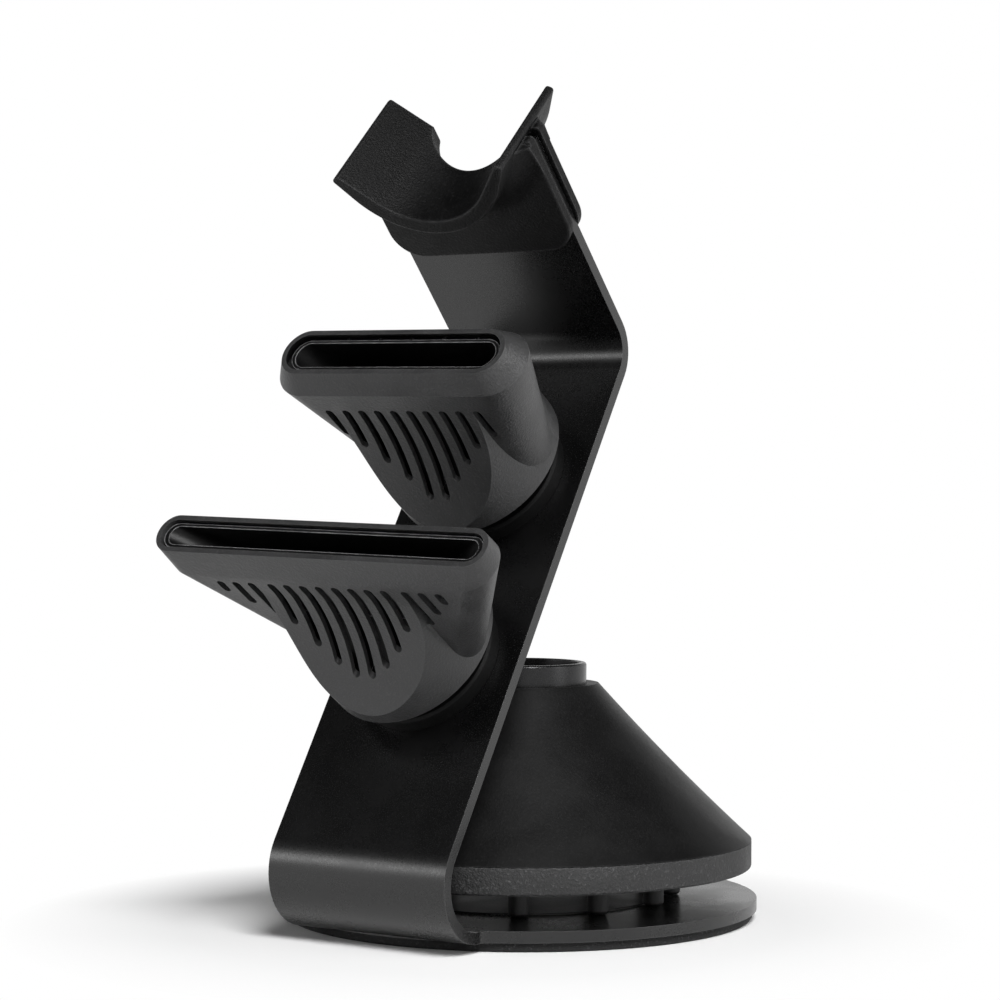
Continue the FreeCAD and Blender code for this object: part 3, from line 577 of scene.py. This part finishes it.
def add_softbox(name, place, aim, width, height, power):
    """Soft rectangular lamp that looks at a point."""
    light = bpy.data.lights.new(name, "AREA")
    light.shape = "RECTANGLE"
    light.size = width
    light.size_y = height
    light.energy = power
    lamp = bpy.data.objects.new(name, light)
    lamp.location = place
    lamp.rotation_euler = (Vector(aim) - Vector(place)).to_track_quat("-Z", "Y").to_euler()
    bpy.context.scene.collection.objects.link(lamp)
    return lamp


def add_camera(look):
    """Level camera, in front and to the right, turned a little about its own axis."""
    yaw, pitch, roll = (math.radians(angle) for angle in CAMERA_TURN)
    ahead = Vector((-math.sin(yaw) * math.cos(pitch), math.cos(yaw) * math.cos(pitch), -math.sin(pitch)))
    level = Vector((math.cos(yaw), math.sin(yaw), 0.0))
    upward = level.cross(ahead)
    right = level * math.cos(roll) + upward * math.sin(roll)
    up = upward * math.cos(roll) - level * math.sin(roll)
    camera = bpy.data.objects.new("studio_camera", bpy.data.cameras.new("studio_camera"))
    camera.data.lens = look.lens
    camera.data.sensor_width = SENSOR_WIDTH
    turn = Matrix((right, up, -ahead)).transposed()
    camera.matrix_world = Matrix.Translation(CAMERA_PLACE) @ turn.to_4x4()
    bpy.context.scene.collection.objects.link(camera)
    bpy.context.scene.camera = camera


class DRYERSTAND_OT_stage(Operator):
    """Make the floor, the white background, the soft lights and the camera"""
    bl_idname = "dryerstand.stage"
    bl_label = "Studio"

    def execute(self, context):
        look = context.scene.dryerstand_studio
        make_floor(look)
        make_world()
        middle = (cad_box[0] + cad_box[1]) / 2
        for name, place, width, height, power in SOFTBOXES:
            add_softbox(name, place, middle, width, height, power)
        context.scene.view_settings.view_transform = "Standard"
        add_camera(look)
        return {"FINISHED"}


class DRYERSTAND_PT_panel(Panel):
    """Sizes and colours of the stand, and its pieces in order"""
    bl_idname = "DRYERSTAND_PT_panel"
    bl_label = "Dryer Stand"
    bl_space_type = "VIEW_3D"
    bl_region_type = "UI"
    bl_category = "Dryer Stand"

    def draw(self, context):
        for name, settings in SETTINGS.items():
            box = self.layout.box()
            look = getattr(context.scene, name)
            for key in settings.__annotations__:
                box.prop(look, key)
        for operator in OPERATORS:
            self.layout.operator(operator.bl_idname)


SETTINGS = {
    "dryerstand_sheet": SheetSettings,
    "dryerstand_rubber": RubberSettings,
    "dryerstand_nozzle": NozzleSettings,
    "dryerstand_diffuser": DiffuserSettings,
    "dryerstand_studio": StudioSettings,
}
OPERATORS = (
    DRYERSTAND_OT_sheet,
    DRYERSTAND_OT_saddle,
    DRYERSTAND_OT_bosses,
    DRYERSTAND_OT_collars,
    DRYERSTAND_OT_nozzles,
    DRYERSTAND_OT_diffuser,
    DRYERSTAND_OT_stage,
)


def register():
    for name, settings in SETTINGS.items():
        bpy.utils.register_class(settings)
        setattr(bpy.types.Scene, name, PointerProperty(type=settings))
    for operator in OPERATORS:
        bpy.utils.register_class(operator)
    bpy.utils.register_class(DRYERSTAND_PT_panel)


def unregister():
    bpy.utils.unregister_class(DRYERSTAND_PT_panel)
    for operator in reversed(OPERATORS):
        bpy.utils.unregister_class(operator)
    for name, settings in reversed(SETTINGS.items()):
        delattr(bpy.types.Scene, name)
        bpy.utils.unregister_class(settings)


def main():
    register()
    for operator in OPERATORS:
        family, name = operator.bl_idname.split(".")
        getattr(getattr(bpy.ops, family), name)()


if __name__ == "__main__":
    main()
